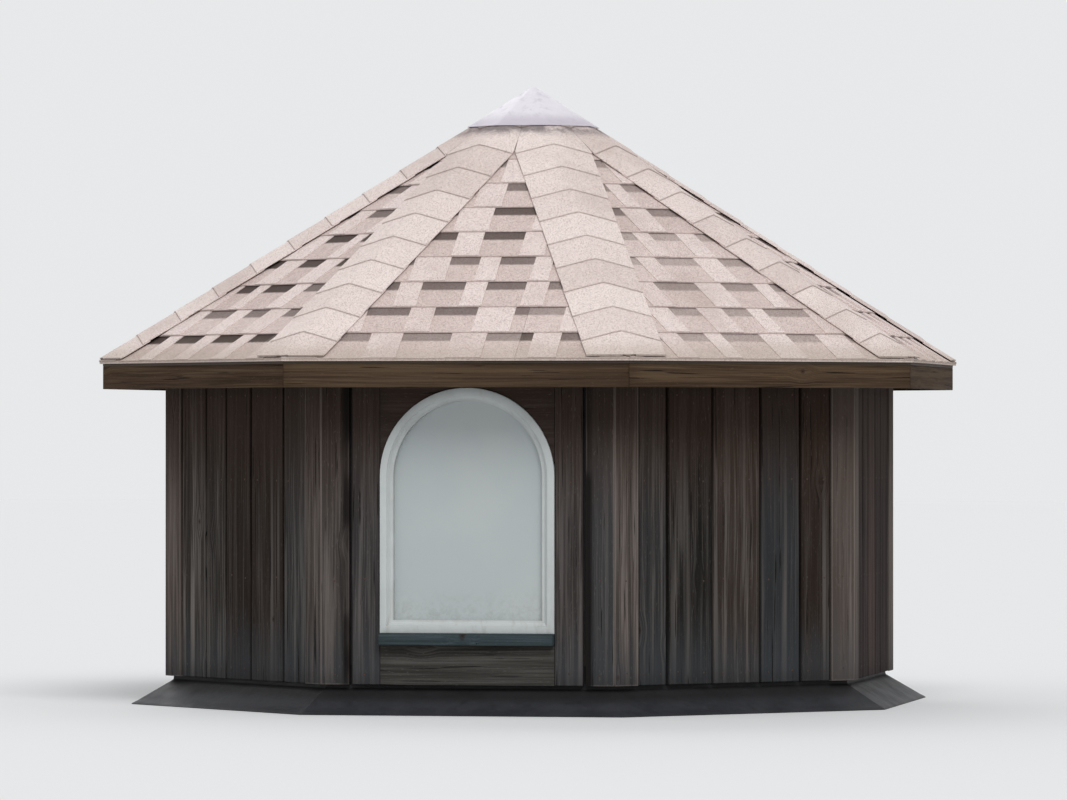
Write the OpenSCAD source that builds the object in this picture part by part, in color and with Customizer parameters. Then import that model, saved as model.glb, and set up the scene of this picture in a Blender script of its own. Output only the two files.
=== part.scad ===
// Octagonal roof cupola with an arched window in front and behind, and a low hipped roof.
// Millimetres, +Z up, origin on the axis at the level of the feet, windows facing +Y and -Y.

/* [Plan] */
// Width of one wall face, corner to corner over the trim
face_w = 914; // [880:1:1050]
// Width of each corner board
corner_w = 89; // [70:1:110]

/* [Walls] */
// Height of the fascia's lower edge above the feet
eave_h = 998; // [980:1:1150]
// Height of the curb under the wall frame
curb_h = 140; // [110:1:170]
// Thickness of the framing timber
stud_w = 38; // [35:1:45]
// Depth of the framing timber, which is the depth of the wall frame
stud_d = 89; // [75:1:100]
// Thickness of the sheathing panels
sheath_t = 12; // [9:1:18]
// Thickness of the upright wall boards
board_t = 19; // [14:1:22]
// Thickness of the corner boards and casings
trim_t = 25; // [23:1:32]

/* [Base flashing] */
// Pitch in degrees of the roof that the cupola stands on
host_pitch = 31.6; // [26:0.1:35]
// How far the flange runs out past the trim, measured level
flange_run = 100; // [75:1:125]
// Height between the flange and the lower ends of the boards
skirt_gap = 28; // [15:1:40]
// How far the upstand runs up behind the boards
flash_lap = 60; // [40:1:90]
// Thickness of the flashing metal
flash_t = 0.8; // [0.6:0.1:1.2]

/* [Windows] */
// Width of the window over its frame
win_w = 542; // [480:1:590]
// Height of the window over its frame, from foot to crown
win_h = 750; // [660:1:780]
// Wood left over the crown of the arch
crown_h = 10; // [6:1:30]
// Face width of the window frame
frame_face = 40; // [30:1:55]
// Depth of the window frame
frame_d = 75; // [60:1:95]
// How far the window frame stands out past the trim
frame_proud = 6; // [0:1:12]
// Thickness of the frosted pane
pane_t = 6; // [4:1:10]
// How far the pane reaches into its groove
pane_bite = 9; // [6:1:12]
// Clearance round the window in the wall frame
rough_gap = 6; // [3:1:10]
// Thickness of the sill at its nose
sill_t = 32; // [25:1:38]
// How far the sill stands out past the trim
sill_nose = 28; // [15:1:45]
// Fall of the sill's top over its nose
sill_fall = 4; // [2:1:6]

/* [Roof] */
// Roof pitch in degrees
roof_pitch = 34; // [28:0.5:38]
// How far the shingles reach past the trim, measured level
overhang = 197; // [150:1:240]
// Height of the fascia boards
fascia_h = 72; // [65:1:100]
// Thickness of the fascia boards
fascia_t = 19; // [16:1:25]
// Thickness of the soffit boards
soffit_t = 12; // [9:1:18]
// Height of the soffit above the fascia's lower edge
soffit_rise = 10; // [5:1:18]
// Width of the rafters
rafter_w = 38; // [35:1:40]
// Depth of the rafters, square to the roof
rafter_d = 89; // [80:1:100]
// Length of the level seat that each rafter has on the plate
seat_len = 38; // [30:1:45]
// Thickness of the roof deck
deck_t = 12; // [9:1:18]
// Half the width of the king block across its flats
king_half = 108; // [106:1:130]
// How far the king block hangs below the rafters
king_drop = 20; // [10:1:60]

/* [Roof covering] */
// Thickness of the shingles at the butt of a course
shingle_t = 10; // [8:1:14]
// Thickness of the shingles at the head of a course
shingle_head = 5; // [4:1:7]
// Length of each course left showing up the slope
exposure = 143; // [110:1:180]
// How far the shingles reach past the fascia, measured level
shingle_nose = 12; // [8:1:20]
// Width of each wing of the hip caps
cap_wing = 127; // [100:1:150]
// Thickness of the hip caps
cap_t = 6; // [4:1:9]
// Half the width of the apex cap across its flats
apex_half = 200; // [150:1:240]
// Thickness of the apex cap's metal
apex_t = 1.2; // [1:0.1:2]

/* [Hidden] */

// Clearance between pieces that seat on each other
seat = 0.3;
// Clearance on each side of the flashing's upstand
slip = 0.05;
// Overrun of every cutting solid
over = 10;

// The octagon: face 0 looks along +X and the faces go round by 45 degrees
face_step = 45;
half_step = face_step / 2;
corner_tan = tan(half_step);
corner_cos = cos(half_step);
FACE_NAMES = ["right", "back_right", "back", "back_left", "left", "front_left", "front", "front_right"];
ALL_FACES = [0 : 7];
WINDOW_FACES = search(["back", "front"], FACE_NAMES);
PLAIN_FACES = [for (k = ALL_FACES) if (len(search(k, WINDOW_FACES)) == 0) k];

// Level distances from the axis to the layers of a wall face, from the trim inwards
trim_r = face_w / 2 / corner_tan;
board_r = trim_r - trim_t;
sheath_r = board_r - flash_t - 2 * slip;
stud_r = sheath_r - sheath_t - seat;
inner_r = stud_r - stud_d;

// Roof line: fascia and eave edges, and the slope
slope = tan(roof_pitch);
eave_r = trim_r + overhang;
fascia_r = eave_r - shingle_nose;
fascia_in = fascia_r - fascia_t;

// Layers over the underside of the deck, measured square to the roof
rafter_off = -seat;
shingle_off = deck_t + seat;
cap_off = shingle_off + shingle_t + seat;
apex_off = cap_off + cap_t + seat;

// Height of a layer at level distance r from the axis
function layer_z(r, off) = eave_h + fascia_h + (fascia_r - r) * slope + off / cos(roof_pitch);
// Distance from the axis at which a layer passes height z
function layer_r(z, off) = fascia_r - (z - eave_h - fascia_h - off / cos(roof_pitch)) / slope;
rafter_low = rafter_off - rafter_d;
// Distance from the axis at which the blunt tips of the roof panels stop
tip_r = 15;

// Heights of the walls
flange_tip = trim_r + flange_run;
function host_z(r) = (flange_tip - r) * tan(host_pitch);
board_low = host_z(trim_r) + skirt_gap;
soffit_low = eave_h + soffit_rise;
soffit_top = soffit_low + soffit_t;
plate_top = layer_z(stud_r, rafter_low) + seat_len * slope;
plate_low = plate_top - 2 * stud_w;
sheath_top = layer_z(sheath_r, rafter_low) - seat;

// Window: foot, crown and the springing of its arch
win_top = soffit_low - crown_h;
win_low = win_top - win_h;
arch_rise = win_h - win_w / 2;
frame_r = trim_r + frame_proud;
pane_r = frame_r - frame_d / 2;
// Height over the springing at which the head board starts, where its horns are thick enough to hold
horn_h = 40;

// Wall frame round the window: inner sides of the studs and posts, and the underside of the rough sill
stud_y = win_w / 2 + rough_gap;
post_y = inner_r * corner_tan - stud_w;
window_post_y = max(post_y, stud_y + stud_w + seat);
rough_sill_low = win_low - rough_gap - stud_w;

// Long enough to cross the whole cupola
reach = 2 * eave_r;

// Repeats its children on the listed faces
module on_faces(faces) {
    for (k = faces)
        rotate(k * face_step)
            children();
}

// Puts its children on the face with this name
module on_face(name) {
    on_faces(search([name], FACE_NAMES))
        children();
}

// Bar along one face, with a profile given as distance from the axis and height
module face_bar(profile, width = reach) {
    rotate([90, 0, 0])
        linear_extrude(width, center = true)
            polygon(profile);
}

// Wedge of the plan that belongs to one face, drawn back by half of the joint
module face_wedge() {
    start = seat / 2 / sin(half_step);
    half = (reach - start) * corner_tan;
    translate([0, 0, -over])
        linear_extrude(reach)
            polygon([[start, 0], [reach, -half], [reach, half]]);
}

// Bar along one face, mitred to its neighbours at both corners
module mitred_bar(profile) {
    intersection() {
        face_bar(profile);
        face_wedge();
    }
}

// Level member with a rectangular section, mitred at both corners
module mitred_rail(r0, r1, z0, z1) {
    mitred_bar([[r0, z0], [r1, z0], [r1, z1], [r0, z1]]);
}

// Upright board on one face, from r0 to r1 outwards, y0 to y1 across and z0 to z1 up
module board(r0, r1, y0, y1, z0, z1) {
    translate([r0, y0, z0])
        cube([r1 - r0, y1 - y0, z1 - z0]);
}

// Repeats its children at both ends of a face
module both_ends() {
    children();
    mirror([0, 1, 0])
        children();
}

// Upright piece at the end of a face, mitred along the corner and square at y_in
module corner_piece(r0, r1, y_in, z0, z1) {
    mitre = seat / 2 / corner_cos;
    translate([0, 0, z0])
        linear_extrude(z1 - z0)
            polygon([
                [r0, y_in], [r1, y_in],
                [r1, r1 * corner_tan - mitre], [r0, r0 * corner_tan - mitre]
            ]);
}

// Outline of the window with its foot at the origin, grown by a margin all round
module arch_outline(grow) {
    half = win_w / 2 + grow;
    translate([-half, -grow])
        square([2 * half, arch_rise + grow]);
    translate([0, arch_rise])
        circle(half, $fn = 120);
}

// Extrudes an outline drawn at the window's foot through the wall, from r0 to r1
module at_window(r0, r1) {
    translate([r0, 0, win_low])
        rotate([90, 0, 90])
            linear_extrude(r1 - r0)
                children();
}

// Timber of the curb under one wall
module curb_timber() {
    mitred_rail(inner_r, stud_r, 0, curb_h);
}

// Octagonal curb of eight mitred timbers that carries the wall frame, notched where a rough sill needs room
module curb() {
    color("#9c8565") {
        on_faces(PLAIN_FACES)
            curb_timber();
        on_faces(WINDOW_FACES)
            difference() {
                curb_timber();
                board(inner_r - over, stud_r + over, -stud_y, stud_y, rough_sill_low - seat, reach);
            }
    }
}

// Bent metal flashing: an upstand behind the boards and a flange down the host roof
module roof_flashing() {
    back = sheath_r + slip;
    front = back + flash_t;
    lift = flash_t / cos(host_pitch);
    top = board_low + flash_lap;
    color("#2f2f33")
        on_faces(ALL_FACES)
            mitred_bar([
                [back, host_z(back)], [flange_tip, 0], [flange_tip, lift],
                [front, host_z(front) + lift], [front, top], [back, top]
            ]);
}

// Corner posts, each of two bevelled halves
module corner_posts() {
    color("#a58d6a") {
        on_faces(PLAIN_FACES)
            both_ends()
                corner_piece(inner_r, stud_r, post_y, curb_h + seat, plate_low - seat);
        on_faces(WINDOW_FACES)
            both_ends()
                corner_piece(inner_r, stud_r, window_post_y, curb_h + seat, plate_low - seat);
    }
}

// One stud in the middle of each plain wall
module wall_studs() {
    color("#a58d6a")
        on_faces(PLAIN_FACES)
            board(inner_r, stud_r, -stud_w / 2, stud_w / 2, curb_h + seat, plate_low - seat);
}

// Studs on both sides of each window, which carry its header
module window_studs() {
    color("#a58d6a")
        on_faces(WINDOW_FACES)
            both_ends()
                board(inner_r, stud_r, stud_y, stud_y + stud_w, curb_h + seat, win_top + rough_gap - seat);
}

// Level timber under each window, between its studs
module rough_sills() {
    color("#a58d6a")
        on_faces(WINDOW_FACES)
            board(inner_r, stud_r, seat - stud_y, stud_y - seat, rough_sill_low, rough_sill_low + stud_w);
}

// Header over each window, from corner post to corner post
module window_headers() {
    span = window_post_y - seat;
    color("#a58d6a")
        on_faces(WINDOW_FACES)
            board(inner_r, stud_r, -span, span, win_top + rough_gap, plate_low - seat);
}

// Double plate on top of the wall frame
module top_plate() {
    color("#a58d6a")
        on_faces(ALL_FACES)
            mitred_rail(inner_r, stud_r, plate_low, plate_top);
}

// Sheathing panel of one wall
module sheathing_panel() {
    mitred_rail(stud_r + seat, sheath_r, host_z(sheath_r), sheath_top);
}

// Sheathing of the six walls without a window
module sheathing_plain() {
    color("#8a7657")
        on_faces(PLAIN_FACES)
            sheathing_panel();
}

// Sheathing of the two window walls, cut out round the arch
module sheathing_window() {
    color("#8a7657")
        on_faces(WINDOW_FACES)
            difference() {
                sheathing_panel();
                at_window(stud_r - over, sheath_r + over)
                    arch_outline(rough_gap);
            }
}

// Upright boards of one plain wall, between its corner boards
module siding(face) {
    half = face_w / 2 - corner_w - seat;
    color("#43393a")
        on_face(face)
            board(board_r, board_r + board_t, -half, half, board_low, soffit_low - seat);
}

// Corner boards, two mitred together at each corner
module corner_boards() {
    color("#4a4040")
        on_faces(ALL_FACES)
            both_ends()
                corner_piece(board_r, trim_r, face_w / 2 - corner_w, board_low, soffit_low - seat);
}

// Casing of one window: a board on each side and a head board cut to the arch
module casing(face) {
    inside = win_w / 2 + seat;
    outside = face_w / 2 - corner_w - seat;
    head_low = win_low + arch_rise + horn_h;
    color("#453c3b")
        on_face(face) {
            both_ends()
                board(board_r, trim_r, inside, outside, board_low, soffit_low - seat);
            difference() {
                board(board_r, trim_r, -win_w / 2, win_w / 2, head_low, soffit_low - seat);
                at_window(board_r - over, trim_r + over)
                    arch_outline(seat);
            }
        }
}

// Arched window frame with a groove for its pane
module window_frame(face) {
    color("#c3cbc9")
        on_face(face)
            difference() {
                at_window(frame_r - frame_d, frame_r)
                    arch_outline(0);
                at_window(frame_r - frame_d - over, frame_r + over)
                    arch_outline(-frame_face);
                at_window(pane_r - pane_t / 2 - seat, pane_r + pane_t / 2 + seat)
                    arch_outline(pane_bite + seat - frame_face);
            }
}

// Frosted pane in the groove of its frame
module window_pane(face) {
    color("#aab3b4")
        on_face(face)
            at_window(pane_r - pane_t / 2, pane_r + pane_t / 2)
                arch_outline(pane_bite - frame_face);
}

// Sloped sill under each window, between the casings
module window_sills() {
    top = win_low - seat;
    nose = trim_r + sill_nose;
    color("#4a4243")
        on_faces(WINDOW_FACES)
            face_bar([
                [board_r, top - sill_t - sill_fall], [nose, top - sill_t - sill_fall],
                [nose, top - sill_fall], [frame_r, top], [board_r, top]
            ], win_w);
}

// Apron board under each sill
module apron_boards() {
    top = win_low - sill_t - sill_fall - 2 * seat;
    color("#5a5048")
        on_faces(WINDOW_FACES)
            board(board_r, trim_r, -win_w / 2, win_w / 2, board_low, top);
}

// Level soffit between the walls and the fascia
module soffit() {
    color("#3a2f29")
        on_faces(ALL_FACES)
            mitred_rail(sheath_r + seat, fascia_in - seat, soffit_low, soffit_top);
}

// Fascia boards, bevelled on top to the slope of the deck
module fascia() {
    color("#453630")
        on_faces(ALL_FACES)
            mitred_bar([
                [fascia_in, eave_h], [fascia_r, eave_h],
                [fascia_r, layer_z(fascia_r, rafter_off)], [fascia_in, layer_z(fascia_in, rafter_off)]
            ]);
}

// Side outline of a rafter. Stretch lengthens it along the plan for the hips, and head is where it starts.
function rafter_outline(stretch, head) = [
    [head * stretch, layer_z(head, rafter_low)],
    [layer_r(plate_top + seat, rafter_low) * stretch, plate_top + seat],
    [stud_r * stretch + seat, plate_top + seat],
    [stud_r * stretch + seat, layer_z(stud_r, rafter_low)],
    [layer_r(soffit_top + seat, rafter_low) * stretch, soffit_top + seat],
    [(fascia_in - seat) * stretch, soffit_top + seat],
    [(fascia_in - seat) * stretch, layer_z(fascia_in - seat, rafter_off)],
    [head * stretch, layer_z(head, rafter_off)]
];

// Rafters up the middle of each roof face
module common_rafters() {
    color("#a58d6a")
        on_faces(ALL_FACES)
            face_bar(rafter_outline(1, king_half + seat), rafter_w);
}

// Space under one roof layer where two faces meet at a hip, out to the level distance edge
module under_hip(off, edge) {
    profile = [[-over, 0], [edge, 0], [edge, layer_z(edge, off)], [-over, layer_z(-over, off)]];
    intersection() {
        face_bar(profile);
        rotate(face_step)
            face_bar(profile);
    }
}

// Hip rafters, with their backs bevelled to both roof faces and their tails cut to the fascia's corner
module hip_rafters() {
    head = (king_half + seat) * corner_cos;
    color("#a58d6a")
        on_faces(ALL_FACES)
            intersection() {
                rotate(half_step)
                    face_bar(rafter_outline(1 / corner_cos, head), rafter_w);
                under_hip(rafter_off, fascia_in - seat);
            }
}

// King block with one flat for each of the sixteen rafters
module king_block() {
    sides = 16;
    turn = 360 / sides;
    across = king_half / cos(turn / 2);
    low = layer_z(king_half, rafter_low) - king_drop;
    color("#8f7856")
        translate([0, 0, low])
            linear_extrude(layer_z(across, rafter_off) - low)
                polygon([for (i = [0 : sides - 1]) across * [cos((i + 0.5) * turn), sin((i + 0.5) * turn)]]);
}

// Profile of one layer of the roof, from the tip at r0 out to r1
function layer_profile(r0, r1, low, high) = [
    [r0, layer_z(r0, low)], [r1, layer_z(r1, low)], [r1, layer_z(r1, high)], [r0, layer_z(r0, high)]
];

// Roof deck of eight triangular panels
module roof_deck() {
    color("#8a7657")
        on_faces(ALL_FACES)
            mitred_bar(layer_profile(tip_r, fascia_r, 0, deck_t));
}

// Shingle courses of each roof face, stepped at the butt of every course
module shingles() {
    run = exposure * cos(roof_pitch);
    courses = ceil((eave_r - tip_r) / run);
    butt = shingle_off + shingle_t;
    head = shingle_off + shingle_head;
    underside = [for (r = [tip_r, eave_r]) [r, layer_z(r, shingle_off)]];
    steps = [for (i = [0 : courses - 1]) let (a = eave_r - i * run, b = max(a - run, tip_r))
        each [[a, layer_z(a, butt)], [b, layer_z(b, head + (butt - head) * (run - a + b) / run)]]];
    color("#c0b0a8")
        on_faces(ALL_FACES)
            mitred_bar(concat(underside, steps));
}

// Caps folded over the eight hips, with their wings cut along the middle of each face near the apex
module hip_caps() {
    wing = cap_wing * corner_cos / cos(atan(corner_tan * cos(roof_pitch)));
    start = apex_half / 2;
    color("#cbbdb6")
        on_faces(ALL_FACES)
            intersection() {
                difference() {
                    under_hip(cap_off + cap_t, eave_r);
                    under_hip(cap_off, eave_r + over);
                }
                rotate(half_step)
                    intersection() {
                        face_wedge();
                        translate([start, -wing, 0])
                            cube([reach, 2 * wing, reach]);
                    }
            }
}

// Eight-sided pyramid under one roof layer, from height z up to its point
module pyramid(z, off) {
    r = layer_r(z, off);
    translate([0, 0, z])
        rotate(half_step)
            cylinder(h = r * slope, r1 = r / corner_cos, r2 = 0, $fn = 8);
}

// Folded metal cap over the apex
module apex_cap() {
    rim_z = layer_z(apex_half, apex_off + apex_t);
    color("#c9c9cc")
        difference() {
            pyramid(rim_z, apex_off + apex_t);
            pyramid(rim_z - over, apex_off);
        }
}

curb();
roof_flashing();
corner_posts();
wall_studs();
window_studs();
rough_sills();
window_headers();
top_plate();
sheathing_plain();
sheathing_window();
siding("right");  // siding_right
siding("back_right");  // siding_back_right
siding("back_left");  // siding_back_left
siding("left");  // siding_left
siding("front_left");  // siding_front_left
siding("front_right");  // siding_front_right
corner_boards();
casing("front");  // casing_front
casing("back");  // casing_back
window_frame("front");  // window_frame_front
window_frame("back");  // window_frame_back
window_pane("front");  // window_pane_front
window_pane("back");  // window_pane_back
window_sills();
apron_boards();
soffit();
fascia();
common_rafters();
hip_rafters();
king_block();
roof_deck();
shingles();
hip_caps();
apex_cap();
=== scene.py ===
import math
import random
from types import SimpleNamespace

import bmesh
import bpy
from mathutils import Matrix, Vector, noise


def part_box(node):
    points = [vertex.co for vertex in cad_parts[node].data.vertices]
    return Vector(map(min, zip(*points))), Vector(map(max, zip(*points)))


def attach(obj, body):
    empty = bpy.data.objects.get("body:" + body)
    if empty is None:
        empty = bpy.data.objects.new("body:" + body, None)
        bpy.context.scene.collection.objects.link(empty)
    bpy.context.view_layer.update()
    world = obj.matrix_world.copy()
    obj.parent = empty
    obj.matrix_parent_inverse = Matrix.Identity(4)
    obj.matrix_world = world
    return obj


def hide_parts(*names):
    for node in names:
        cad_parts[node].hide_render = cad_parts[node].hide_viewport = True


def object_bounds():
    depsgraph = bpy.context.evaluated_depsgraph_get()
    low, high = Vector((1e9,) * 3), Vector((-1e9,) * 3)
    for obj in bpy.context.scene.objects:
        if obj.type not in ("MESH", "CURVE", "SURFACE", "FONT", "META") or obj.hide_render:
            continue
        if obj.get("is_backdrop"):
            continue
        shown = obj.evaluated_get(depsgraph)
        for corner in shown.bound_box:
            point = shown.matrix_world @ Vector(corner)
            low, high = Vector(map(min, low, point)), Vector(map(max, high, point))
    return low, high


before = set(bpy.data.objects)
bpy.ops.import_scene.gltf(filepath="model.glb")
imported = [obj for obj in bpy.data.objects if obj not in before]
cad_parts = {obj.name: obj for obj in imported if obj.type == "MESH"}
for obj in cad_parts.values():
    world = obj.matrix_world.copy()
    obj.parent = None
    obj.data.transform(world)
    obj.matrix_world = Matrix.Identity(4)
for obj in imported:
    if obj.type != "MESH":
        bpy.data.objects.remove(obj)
cad_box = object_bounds()

MM = 0.001
WINDOW_FACES = {2: "back", 6: "front"}
PLAIN_FACES = {0: "right", 1: "back_right", 3: "back_left", 4: "left", 5: "front_left", 7: "front_right"}
ALL_FACES = range(8)
SEAT = 0.3 * MM
HAIR = 0.05 * MM

# The octagon
FACE_STEP = math.radians(45)
CORNER_TAN = math.tan(FACE_STEP / 2)
CORNER_SIN = math.sin(FACE_STEP / 2)
CORNER_COS = math.cos(FACE_STEP / 2)

# Eased edges, and what counts in the CAD solids as one point, as flat, as an edge and as level
EASED = 2 * MM
SILL_EASE = 3 * MM
PANEL_EASE = 0.4 * MM
HEAD_EASE = 1 * MM
PANE_EASE = 0.5 * MM
WELD = 0.1 * MM
FLAT_ANGLE = math.radians(0.5)
EDGE_ANGLE = math.radians(20)
LEVEL_SINE = 0.2

# CAD nodes that are dressed, as slot, material, ease and names
DRESSED = (
    ("weathered_trim", "corners", EASED, "corner_boards"),
    ("weathered_trim", "sill", SILL_EASE, "window_sills"),
    ("weathered_trim", "apron", EASED, "apron_boards"),
    ("eave_boards", "eave", EASED, "soffit fascia"),
    ("framing_timber", "framing", EASED, "curb corner_posts wall_studs window_studs rough_sills"),
    ("framing_timber", "framing", EASED, "window_headers top_plate common_rafters hip_rafters king_block"),
    ("sheathing_panel", "panel", PANEL_EASE, "sheathing_plain sheathing_window"),
    ("sheathing_panel", "deck", PANEL_EASE, "roof_deck"),
)

# Walls, read off the casing of the face that looks along +Y
wall_low, wall_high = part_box("casing_back")
BOARD_R = wall_low.y
TRIM_R = wall_high.y
WALL_HALF = wall_high.x
WALL_H = wall_high.z - wall_low.z
BOARD_T = 19 * MM
BOARD_WIDTHS = (95 * MM, 175 * MM)
BOARD_GAPS = (4 * MM, 12 * MM)
BOARD_WANDER = 0.7 * MM
WANDER_PACE = 3.1
WANDER_ROWS = (1.5, 4.5, 7.5)
BOARD_STATIONS = 9
CASING_GAP = 9 * MM

# Nails
NAIL_R = 3.2 * MM
NAIL_H = 0.9 * MM
NAIL_SINK = 0.6 * MM
NAIL_SIDES = 10
NAIL_EDGE = 35 * MM
NAIL_LEVELS = (0.35, 0.68)
NAIL_SHARES = (0.22, 0.78)
NAIL_SCATTER = (3 * MM, 5 * MM)

# Window, read off the same face
frame_low, frame_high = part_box("window_frame_back")
pane_low, pane_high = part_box("window_pane_back")
WIN_HALF = frame_high.x
SPRING_Z = frame_high.z - WIN_HALF
FRAME_FACE = 40 * MM
FRAME_FLAT = 20 * MM
FRAME_STEP = 4 * MM
BEAD = (24 * MM, 36 * MM)
BEAD_DROP = 9 * MM
BEAD_STEPS = 6
PANE_BITE = 9 * MM
HORN_H = 40 * MM
ARCH_STEPS = 48
MITRE_LIMIT = 0.2

# Roof
PITCH = math.radians(34)
SLOPE = math.tan(PITCH)
deck_low, deck_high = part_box("roof_deck")
FASCIA_R = deck_high.x
EAVE_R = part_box("shingles")[1].x
TIP_R = 15 * MM
DECK_T = 12 * MM
SHINGLE_LOW = DECK_T + SEAT
SHINGLE_TOP = SHINGLE_LOW + 10 * MM
COURSE_DROP = 5 * MM
EXPOSURE = 143 * MM
RUN = EXPOSURE * math.cos(PITCH)
PLY_T = 2.4 * MM
PLY_BACK = 1 * MM
STARTER_BACK = 2 * MM
LAP = 20 * MM
BUTT_RUN = 8 * MM
HIP_TRIM = 0.5 * MM
STRIP_LENGTH = 1000 * MM
SHORTEST_STRIP = 60 * MM
STRIP_JOINT = 1 * MM
NARROWEST = 0.5 * MM
THINNEST = 0.3 * MM

# Tabs, and the random tones of the shingles: the lower ply is dark, the tabs are pale
TAB_WIDTHS = (60 * MM, 120 * MM)
SLOT_WIDTHS = (90 * MM, 155 * MM)
LEAST_TAB = 12 * MM
TAB_SKEW = 1.6 * MM
TAB_SAG = 0.8 * MM
TAB_SHIFT = 1.5 * MM
BUNDLE_TONES = (0, 0.18)
PLY_TONES = (0, 0.27)
TAB_TONES = (0.55, 1)
STARTER_TONE = 0.45
BAND = (47 * MM, 35 * MM)

# Hip caps
CAP_LOW = SHINGLE_TOP + SEAT
CAP_TOP = CAP_LOW + 6 * MM
CAP_T = 2.8 * MM
CAP_DROP = 3.1 * MM
CAP_LAP = 25 * MM
CAP_WING = 127 * MM
CAP_HALF = CAP_WING * CORNER_COS / math.cos(math.atan(CORNER_TAN * math.cos(PITCH)))
CAP_JITTER = 1.5 * MM
CAP_ROWS = (0, 0.06, 0.45, 0.85, 1)
CAP_COLUMNS = 12
CAP_END_R = 20 * MM
FOLD = 5 * MM
HIP_RUN = EXPOSURE / math.hypot(1, SLOPE * CORNER_COS)

# Apex cap
APEX_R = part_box("apex_cap")[1].x
APEX_LOW = CAP_TOP + SEAT
APEX_T = 1.2 * MM
APEX_HEM = 11 * MM
HEM_STEP = 0.5 * MM
SHOULDER_R = 12 * MM
POINT_R = 5 * MM
POINT_DROP = 2 * MM
UNDER_POINT_R = 8 * MM
APEX_COLUMNS = (-0.97, -0.5, 0, 0.5, 0.97)

# Flashing
flange_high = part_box("roof_flashing")[1]
FLANGE_R = flange_high.x
HOST_PITCH = math.radians(31.6)
HOST_SLOPE = math.tan(HOST_PITCH)
SHEET_T = 0.8 * MM
UPSTAND_R = BOARD_R - SHEET_T - HAIR
BEND = 4 * MM
BEND_RISE = 6.4 * MM
BEND_DIP = 7.6 * MM
BEND_TURNS = (0.4, 0.8, 1.15)
BEND_END = 5.2 * MM
FLANGE_HEM = 12 * MM
HEM_PLIES = 1.9
SHEET_TRIM = 0.15 * MM
SHEET_WAVE = 0.9 * MM
SHEET_COLUMNS = 10

# Studio
CAMERA_PLACE = (3.99, -21.33, 0.87)
CAMERA_TARGET = (0, 0, 0.965)
CAMERA_LENS = 228
CAMERA_REACH = 200
LAMPS = {
    "key": ((4, -9.5, 10), 0.6, 35),
    "fill": ((-9, -6, 4), 0.05, 60),
    "back": ((-4, 9, 6.5), 0.28, 50),
}
SKY = (1, 1, 1, 1)
SKY_LEVEL = 0.42
BACKDROP = (0.8, 0.81, 0.82, 1)
FLOOR = (0.787, 0.797, 0.807, 1)
FLOOR_HALF = 60
FLOOR_DROP = 0.5 * MM


def roof_z(r, off):
    """Height of a roof layer at level distance r, off above the underside of the deck and square to it."""
    return deck_low.z + (FASCIA_R - r) * SLOPE + off / math.cos(PITCH)


def host_z(r):
    """Height of the host roof at level distance r."""
    return (FLANGE_R - r) * HOST_SLOPE


def face_matrix(face):
    """From a face's own frame, x out of the wall, y across it and z up, to the row frame."""
    return Matrix.Rotation(face * FACE_STEP, 4, "Z")


def upright(face, r, y, z):
    """Matrix of a board that stands on a wall: its length goes up and its thickness outwards."""
    turn = Matrix(((0, 0, 1, r), (0, 1, 0, y), (1, 0, 0, z), (0, 0, 0, 1)))
    return face_matrix(face) @ turn


def lerp(a, b, t):
    return a + (b - a) * t


def unit_noise(*spot):
    """Soft noise from 0 to 1."""
    return 0.5 + 0.5 * noise.noise(spot)


def there_and_back(count):
    """Columns round a thin section: (0, column) along its underside, then (1, column) back along its top."""
    return [(0, c) for c in range(count + 1)] + [(1, c) for c in range(count, -1, -1)]


def box_middle(spots):
    """Middle of the box round some points."""
    return [(min(s[i] for s in spots) + max(s[i] for s in spots)) / 2 for i in range(3)]


def middle_of(verts):
    """Middle of some vertices, rounded to a tenth of a millimetre to sort by."""
    return tuple(round(part, 4) for part in box_middle([v.co for v in verts]))


def new_object(name, data):
    """A new object in the scene, made of this data."""
    thing = bpy.data.objects.new(name, data)
    bpy.context.scene.collection.objects.link(thing)
    return thing


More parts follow.
